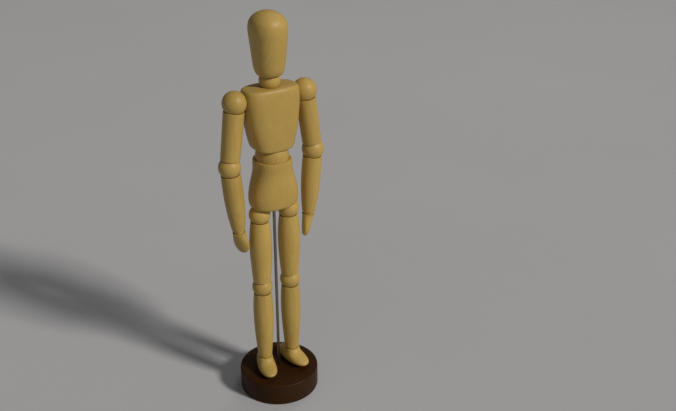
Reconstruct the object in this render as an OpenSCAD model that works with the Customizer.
// Wooden artist mannequin on a round base, 13 inch class.
// Millimetres, +Z up, the figure faces -Y, origin at the middle of the base's underside.
// Every ball joint is a loose wooden ball between two cups, held together by springs and wire links.

/* [Base and rod] */
// Diameter of the base
base_d = 67; // [60:0.5:90]
// Thickness of the base
base_h = 19; // [14:0.5:28]
// Radius of the base's rounded edges
base_edge = 1.2; // [0.4:0.1:3]
// Diameter of the support rod
rod_d = 2.4; // [1.8:0.1:4]
// Depth of the rod's hole in the base
rod_in_base = 13; // [8:0.5:16]
// Depth of the rod's hole in the pelvis
rod_in_pelvis = 20; // [10:0.5:22]

/* [Figure] */
// Gap between the soles and the base, which lets the legs swing
foot_gap = 2.2; // [2.2:0.1:6]
// Height of the ankle joint over the sole
ankle_h = 11.8; // [11:0.1:14]
// Knee to ankle
shin_len = 68.5; // [60:0.5:90]
// Hip to knee
thigh_len = 66.5; // [58:0.5:90]
// Middle to hip joint
hip_x = 13; // [12.4:0.1:15]
// Hip joint to the waist's lower centre
hip_to_waist = 47; // [46:0.5:60]
// Waist's lower centre to its upper centre
waist_len = 2.6; // [1:0.1:6]
// Waist's upper centre to the shoulder joints
waist_to_shoulder = 47.4; // [47:0.1:60]
// Shoulder joints to the neck's centre
shoulder_to_neck = 13; // [12.5:0.1:16]
// Middle to shoulder joint
shoulder_x = 30; // [29.8:0.1:34]
// Shoulder to elbow
upper_arm_len = 51; // [44:0.5:70]
// Elbow to wrist
forearm_len = 56; // [48:0.5:70]
// Outward lean of the upper arms, degrees
arm_out = 7.5; // [7:0.5:20]
// Inward lean of the forearms, degrees
forearm_in = 5; // [0:0.5:6]
// Inward lean of the hands, degrees
hand_in = 10; // [0:0.5:12]
// Turn of the backs of the hands towards the front, degrees
hand_turn = 30; // [0:1:45]
// Turn-out of the feet, degrees
foot_out = 11; // [0:0.5:20]
// Height of the head over its flat underside
head_h = 48.8; // [44:0.1:60]

/* [Balls] */
// Radius of the shoulder balls
shoulder_r = 9.5; // [9:0.1:9.8]
// Radius of the elbow balls
elbow_r = 8.9; // [8:0.1:9.6]
// Radius of the wrist balls
wrist_r = 4.2; // [3.8:0.1:5]
// Radius of the hip balls
hip_r = 8.6; // [8:0.1:9]
// Radius of the knee balls
knee_r = 8.4; // [7.8:0.1:9]
// Radius of the ankle balls
ankle_r = 4.8; // [4.4:0.1:5.4]
// Radius of the neck ball
neck_r = 8.3; // [7.8:0.1:8.6]
// Radius of the waist piece
waist_r = 13.2; // [12.4:0.1:13.3]
// Clearance between a ball and its cup
ball_gap = 0.3; // [0.2:0.05:0.5]
// Angle from a big ball's middle to a limb's rim, degrees
wide_rim = 42; // [38:1:46]
// Angle from a wrist ball's middle to its rims, degrees
wrist_rim = 16; // [12:1:20]
// Angle from an ankle ball's middle to its rims, degrees
ankle_rim = 7; // [6:1:12]
// Width of the flat rim round a limb's cup
rim_w = 0.9; // [0.6:0.1:1.2]

/* [Springs and links] */
// Diameter of the spring and link wire
wire_d = 1; // [0.7:0.1:1.2]
// Outer radius of the springs
spring_r = 2.1; // [1.8:0.1:2.4]
// Clearance between a spring and its bore
spring_gap = 0.4; // [0.3:0.05:0.6]
// Clearance between a wire and its hole
wire_gap = 0.25; // [0.15:0.05:0.4]
// Radial clearance of the rod in its two holes
rod_gap = 0.05; // [0.02:0.01:0.1]

/* [Hidden] */
$fn = 64;
sides = [["left", 1], ["right", -1]];
base_r = base_d / 2;
rod_r = rod_d / 2;
wire_r = wire_d / 2;
bore_r = spring_r + spring_gap;
hole_r = wire_r + wire_gap;
sole_z = base_h + foot_gap;
ankle_z = sole_z + ankle_h;
knee_z = ankle_z + shin_len;
hip_z = knee_z + thigh_len;
waist_z = hip_z + hip_to_waist;
chest_z = waist_z + waist_len;
shoulder_z = chest_z + waist_to_shoulder;
neck_z = shoulder_z + shoulder_to_neck;
// Angle from the neck ball's middle to the rims of the chest and the head, degrees
neck_rim = 31;
// Heights of the pelvis's top over the waist's lower centre, and of the chest's underside over the upper one
pelvis_rise = -0.6;
chest_rise = 6.4;
head_z = neck_z + (neck_r + ball_gap) * sin(neck_rim);
pelvis_low = hip_z + 5.5;
pelvis_top = waist_z + pelvis_rise;
chest_low = chest_z + chest_rise;
chest_top = neck_z - (neck_r + ball_gap) * sin(neck_rim);
// How far a link's ends stay under its ball's surface, and the size of its upset heads
link_inset = 0.9;
link_head_h = 0.3;
link_head_r = wire_d / 2 + wire_gap + 0.1;
// Depth of the holes for the end hooks in the hands and feet
hook_hole = 4;
// Air over the rod's upper end in the pelvis
rod_end_gap = 0.5;
// How much a ball's hole flares at each end
flare_w = 0.9;
flare_h = 1.6;
// A spring's turns lie this share of the wire apart, so that neighbours touch
turn_pitch = 0.86;
// Springs stop this far from the balls on either side
spring_end = 0.5;
hip_spring_len = 17;
waist_spring_len = 22;
neck_spring_len = 20;
// Corners of a loft's rings, and rings between two rows of its table
ring_points = 40;
ring_steps = 4;
// How far a cutter runs past the face that it opens
past = 1;

function signed_pow(v, n) = sign(v) * pow(abs(v), n);
function catmull(p0, p1, p2, p3, t) =
    0.5 * (2 * p1 + (p2 - p0) * t + (2 * p0 - 5 * p1 + 4 * p2 - p3) * t * t
    + (3 * p1 - p0 - 3 * p2 + p3) * t * t * t);
// One section [z, half width, half depth, y of its middle] between the rows of a table
function section(rows, u) =
    let (last = len(rows) - 1, i = min(floor(u), last - 1))
    catmull(rows[max(i - 1, 0)], rows[i], rows[i + 1], rows[min(i + 2, last)], u - i);
function ring(s, corner, egg) =
    [for (k = [0 : ring_points - 1])
        let (a = 360 * k / ring_points, y = signed_pow(sin(a), 2 / corner))
        [s[1] * signed_pow(cos(a), 2 / corner) * (1 - egg * y), s[3] + s[2] * y, s[0]]];

// A smooth solid through the rows of a table; corner 2 is an ellipse, more is squarer
module loft(rows, corner = 2, egg = 0) {
    count = (len(rows) - 1) * ring_steps;
    rings = [for (k = [0 : count]) ring(section(rows, k / ring_steps), corner, egg)];
    points = [for (r = rings) each r];
    walls = [for (k = [0 : count - 1], i = [0 : ring_points - 1])
        let (j = (i + 1) % ring_points, low = k * ring_points, high = low + ring_points)
        each [[low + i, high + i, high + j], [low + i, high + j, low + j]]];
    bottom = [for (i = [0 : ring_points - 1]) i];
    top = [for (i = [ring_points - 1 : -1 : 0]) count * ring_points + i];
    polyhedron(points, concat(walls, [bottom, top]));
}

// Radius along a limb, from four control values
function bezier(r, t) =
    pow(1 - t, 3) * r[0] + 3 * pow(1 - t, 2) * t * r[1] + 3 * (1 - t) * t * t * r[2] + pow(t, 3) * r[3];
function rim_r(ball, lat) = (ball + ball_gap) * cos(lat) + rim_w;
function rim_d(ball, lat) = (ball + ball_gap) * sin(lat);

// A turned limb that hangs from the origin: upper ball and rim angle, lower ball and rim angle
module limb(length, ball_a, lat_a, ball_b, lat_b, swell_a, swell_b) {
    from = -rim_d(ball_a, lat_a);
    to = -length + rim_d(ball_b, lat_b);
    radii = [rim_r(ball_a, lat_a), swell_a, swell_b, rim_r(ball_b, lat_b)];
    steps = 28;
    rotate_extrude()
        difference() {
            polygon(concat([[0, from]],
                [for (k = [0 : steps]) [bezier(radii, k / steps), from + (to - from) * k / steps]],
                [[0, to]]));
            circle(r = ball_a + ball_gap);
            translate([0, -length]) circle(r = ball_b + ball_gap);
            translate([0, -length]) square([bore_r, length]);
            translate([-length, -length]) square([length, length]);
        }
}

// The flared mouth of a wire hole at the underside of a ball
module flare(r)
    translate([0, 0, -r - 0.01]) cylinder(r1 = hole_r + flare_w, r2 = hole_r, h = flare_h);

// A ball or a capsule with a wire hole, flared at both ends; its lower centre is the origin
module ball(r, rise = 0) {
    difference() {
        union() {
            sphere(r = r);
            if (rise > 0) {
                cylinder(r = r, h = rise);
                translate([0, 0, rise]) sphere(r = r);
            }
        }
        translate([0, 0, -r - past]) cylinder(r = hole_r, h = 2 * (r + past) + rise);
        for (top = [0, 1])
            translate([0, 0, top * rise])
                mirror([0, 0, top]) flare(r);
    }
}

// The wire link of a ball, with an upset head at each end inside the flares
module link(r, rise = 0) {
    low = -r + link_inset;
    length = 2 * (r - link_inset) + rise;
    translate([0, 0, low]) cylinder(r = wire_r, h = length);
    translate([0, 0, low - link_head_h]) cylinder(r = link_head_r, h = link_head_h);
    translate([0, 0, low + length]) cylinder(r = link_head_r, h = link_head_h);
}

// A close-wound spring that hangs from the origin
module spring(length) {
    pitch = wire_d * turn_pitch;
    turns = floor((length - wire_d) / pitch);
    rotate_extrude()
        for (k = [0 : turns])
            translate([spring_r - wire_r, -wire_r - k * pitch]) circle(r = wire_r);
}

module limb_spring(length, ball_a, ball_b) {
    from = ball_a + ball_gap + spring_end;
    translate([0, 0, -from]) spring(length - from - ball_b - ball_gap - spring_end);
}

// Frames of the joints, one per side; s is 1 on the figure's left
module at_shoulder(s)
    translate([s * shoulder_x, 0, shoulder_z]) rotate([0, -s * arm_out, 0]) children();
// The lower end of the upper arm, and the forearm's own frame there
module at_arm_end(s)
    at_shoulder(s) translate([0, 0, -upper_arm_len]) children();
module at_elbow(s)
    at_arm_end(s) rotate([0, s * (arm_out + forearm_in), 0]) children();
module at_forearm_end(s)
    at_elbow(s) translate([0, 0, -forearm_len]) children();
module at_wrist(s)
    at_forearm_end(s) rotate([0, s * (hand_in - forearm_in), -s * hand_turn]) children();
module at_hip(s)
    translate([s * hip_x, 0, hip_z]) children();
module at_knee(s)
    translate([s * hip_x, 0, knee_z]) children();
module at_ankle(s)
    translate([s * hip_x, 0, ankle_z]) rotate([0, 0, s * foot_out]) children();
// The axis through both shoulders
module across_shoulder(s)
    translate([s * shoulder_x, 0, shoulder_z]) rotate([0, 90, 0]) children();

module wood()
    color([0.73, 0.58, 0.33]) children();
module steel()
    color([0.62, 0.63, 0.65]) children();

module base() {
    color([0.16, 0.08, 0.03])
        rotate_extrude()
            difference() {
                union() {
                    square([base_r - base_edge, base_h]);
                    translate([0, base_edge]) square([base_r, base_h - 2 * base_edge]);
                    for (z = [base_edge, base_h - base_edge])
                        translate([base_r - base_edge, z]) circle(r = base_edge);
                }
                translate([0, base_h - rod_in_base]) square([rod_r + rod_gap, rod_in_base + past]);
                translate([-base_d, -past]) square([base_d, base_h + 2 * past]);
            }
}

module rod() {
    steel()
        translate([0, 0, base_h - rod_in_base])
            cylinder(r = rod_r, h = rod_in_base + pelvis_low - base_h + rod_in_pelvis);
}

module pelvis() {
    rise = pelvis_top - pelvis_low;
    cup = waist_r + ball_gap;
    wood()
        difference() {
            translate([0, 0, pelvis_low])
                loft([[0, 15.2, 10.6, 0], [1.1, 18.1, 12.7, 0], [4.2, 19.9, 13.6, 0], [11, 20.3, 14, 0],
                    [19, 18.9, 14, 0], [rise - 14.5, 16.7, 13.9, 0], [rise - 8.5, 15.3, 14, 0],
                    [rise - 3, cup + 1.5, cup + 0.9, 0], [rise - 0.6, cup + 1.3, cup + 0.8, 0],
                    [rise, cup + 1, cup + 0.7, 0]], 2.5);
            translate([0, 0, waist_z]) sphere(r = cup);
            translate([0, 0, pelvis_low - past])
                cylinder(r = rod_r + rod_gap, h = rod_in_pelvis + past + rod_end_gap);
            for (side = sides)
                at_hip(side[1]) {
                    sphere(r = hip_r + ball_gap);
                    cylinder(r = bore_r, h = hip_r + ball_gap + spring_end + hip_spring_len + spring_gap);
                }
        }
}

module hip_springs() {
    steel()
        for (side = sides)
            at_hip(side[1])
                translate([0, 0, hip_r + ball_gap + spring_end + hip_spring_len]) spring(hip_spring_len);
}

module waist()
    wood() translate([0, 0, waist_z]) ball(waist_r, waist_len);
module waist_link()
    steel() translate([0, 0, waist_z]) link(waist_r, waist_len);

module chest() {
    rise = chest_top - chest_low;
    // Half width that an upper arm's rim leaves free, and radius of the waist's cup at the underside
    rim_x = rim_d(shoulder_r, wide_rim) * sin(arm_out) - rim_r(shoulder_r, wide_rim) * cos(arm_out);
    side = shoulder_x + rim_x;
    cup = sqrt(pow(waist_r + ball_gap, 2) - pow(chest_rise, 2));
    wood()
        difference() {
            translate([0, 0, chest_low])
                loft([[0, cup + 2.3, cup + 1.1, 0], [0.9, cup + 3.7, cup + 1.6, 0],
                    [3, cup + 4.9, cup + 1.9, 0], [10.6, side - 4, 14, 0], [20.6, side - 2, 14, 0],
                    [rise - 19, side - 0.7, 13.9, 0], [rise - 11, side, 13.5, 0],
                    [rise - 5, side - 0.1, 12.9, 0], [rise - 1.8, side - 0.5, 12.2, 0],
                    [rise - 0.5, side - 1.9, 11.4, 0], [rise, side - 5.2, 10.2, 0]], 3.2);
            translate([0, 0, chest_z]) sphere(r = waist_r + ball_gap);
            translate([0, 0, chest_z])
                cylinder(r = bore_r, h = waist_r + ball_gap + spring_end + waist_spring_len + spring_gap);
            translate([0, 0, neck_z]) sphere(r = neck_r + ball_gap);
            across_shoulder(-1) cylinder(r = bore_r, h = 2 * shoulder_x);
            for (pair = sides)
                across_shoulder(pair[1]) sphere(r = shoulder_r + ball_gap);
        }
}

module waist_spring() {
    steel()
        translate([0, 0, chest_z + waist_r + ball_gap + spring_end + waist_spring_len])
            spring(waist_spring_len);
}

module shoulder_spring() {
    reach = shoulder_x - shoulder_r - ball_gap - spring_end;
    steel() translate([-reach, 0, shoulder_z]) rotate([0, -90, 0]) spring(2 * reach);
}

module neck()
    wood() translate([0, 0, neck_z]) ball(neck_r);
module neck_link()
    steel() translate([0, 0, neck_z]) link(neck_r);

module head() {
    wood()
        difference() {
            translate([0, 0, head_z])
                loft([[0, 8.3, 8.5, 0], [1.1, 9.9, 10.3, 0], [5, 11.3, 12.2, 0], [12, 12.2, 13.4, 0],
                    [20, 13, 14.4, 0], [head_h - 21, 13.8, 15.3, 0], [head_h - 14, 14.4, 15.9, 0],
                    [head_h - 8.2, 13.6, 14.9, 0], [head_h - 3.8, 10.4, 11.4, 0],
                    [head_h - 1.1, 5.9, 6.4, 0], [head_h, 1.2, 1.3, 0]], 2.2);
            translate([0, 0, neck_z]) sphere(r = neck_r + ball_gap);
            translate([0, 0, neck_z])
                cylinder(r = bore_r, h = neck_r + ball_gap + spring_end + neck_spring_len + spring_gap);
        }
}

module head_spring() {
    steel()
        translate([0, 0, neck_z + neck_r + ball_gap + spring_end + neck_spring_len])
            spring(neck_spring_len);
}

// Each ball keeps the frame of the limb over it, and a shoulder ball lies across the chest
module shoulder_ball(s)
    wood() across_shoulder(s) ball(shoulder_r);
module shoulder_link(s)
    steel() across_shoulder(s) link(shoulder_r);

module upper_arm(s)
    wood() at_shoulder(s) limb(upper_arm_len, shoulder_r, wide_rim, elbow_r, wide_rim, 8, 7.8);
module upper_arm_spring(s)
    steel() at_shoulder(s) limb_spring(upper_arm_len, shoulder_r, elbow_r);
module elbow_ball(s)
    wood() at_arm_end(s) ball(elbow_r);
module elbow_link(s)
    steel() at_arm_end(s) link(elbow_r);

module forearm(s)
    wood() at_elbow(s) limb(forearm_len, elbow_r, wide_rim, wrist_r, wrist_rim, 8.3, 7.9);
module forearm_spring(s)
    steel() at_elbow(s) limb_spring(forearm_len, elbow_r, wrist_r);
module wrist_ball(s)
    wood() at_forearm_end(s) ball(wrist_r);
module wrist_link(s)
    steel() at_forearm_end(s) link(wrist_r);

module hand(s) {
    rim = rim_r(wrist_r, wrist_rim);
    from = -rim_d(wrist_r, wrist_rim);
    wood()
        at_wrist(s)
            difference() {
                loft([[-20.5, 0.8, 1.2, -0.6], [-20, 1.9, 3.1, -0.6], [-18, 2.8, 5.1, -0.6],
                    [-14.5, 3.5, 6.7, -0.5], [-10, 4, 7, -0.3], [-6, 4.4, 6.2, -0.1],
                    [-3, 4.8, 5.4, 0], [from, rim, rim, 0]]);
                sphere(r = wrist_r + ball_gap);
                translate([0, 0, -wrist_r - hook_hole]) cylinder(r = hole_r, h = hook_hole);
            }
}

module hip_ball(s)
    wood() at_hip(s) ball(hip_r);
module hip_link(s)
    steel() at_hip(s) link(hip_r);

module thigh(s)
    wood() at_hip(s) limb(thigh_len, hip_r, wide_rim, knee_r, wide_rim, 10.4, 8.8);
module thigh_spring(s)
    steel() at_hip(s) limb_spring(thigh_len, hip_r, knee_r);
module knee_ball(s)
    wood() at_knee(s) ball(knee_r);
module knee_link(s)
    steel() at_knee(s) link(knee_r);

module shin(s)
    wood() at_knee(s) limb(shin_len, knee_r, wide_rim, ankle_r, ankle_rim, 9.6, 7.5);
module shin_spring(s)
    steel() at_knee(s) limb_spring(shin_len, knee_r, ankle_r);
module ankle_ball(s)
    wood() at_ankle(s) ball(ankle_r);
module ankle_link(s)
    steel() at_ankle(s) link(ankle_r);

module foot(s) {
    rim = rim_r(ankle_r, ankle_rim);
    from = -rim_d(ankle_r, ankle_rim);
    wood()
        at_ankle(s)
            difference() {
                loft([[-ankle_h, 5.9, 16.2, -1.4], [-ankle_h + 1, 7, 17.8, -1.4],
                    [-ankle_h + 2.8, 7.3, 18.1, -1.4], [-ankle_h + 5, 7, 16.2, 0],
                    [-ankle_h + 7, 6.6, 12.3, 1.8], [-ankle_h + 9, 6.2, 8.9, 1.6],
                    [from, rim, rim, 0]], 2.1, 0.2);
                sphere(r = ankle_r + ball_gap);
                translate([0, 0, -ankle_r - hook_hole]) cylinder(r = hole_r, h = hook_hole);
            }
}

base();
rod();
pelvis();
hip_springs();
waist();
waist_link();
chest();
waist_spring();
shoulder_spring();
neck();
neck_link();
head();
head_spring();
for (side = sides) {
    name = side[0];
    s = side[1];
    shoulder_ball(s);
    shoulder_link(s);
    upper_arm(s);
    upper_arm_spring(s);
    elbow_ball(s);
    elbow_link(s);
    forearm(s);
    forearm_spring(s);
    wrist_ball(s);
    wrist_link(s);
    hand(s);
    hip_ball(s);
    hip_link(s);
    thigh(s);
    thigh_spring(s);
    knee_ball(s);
    knee_link(s);
    shin(s);
    shin_spring(s);
    ankle_ball(s);
    ankle_link(s);
    foot(s);
}
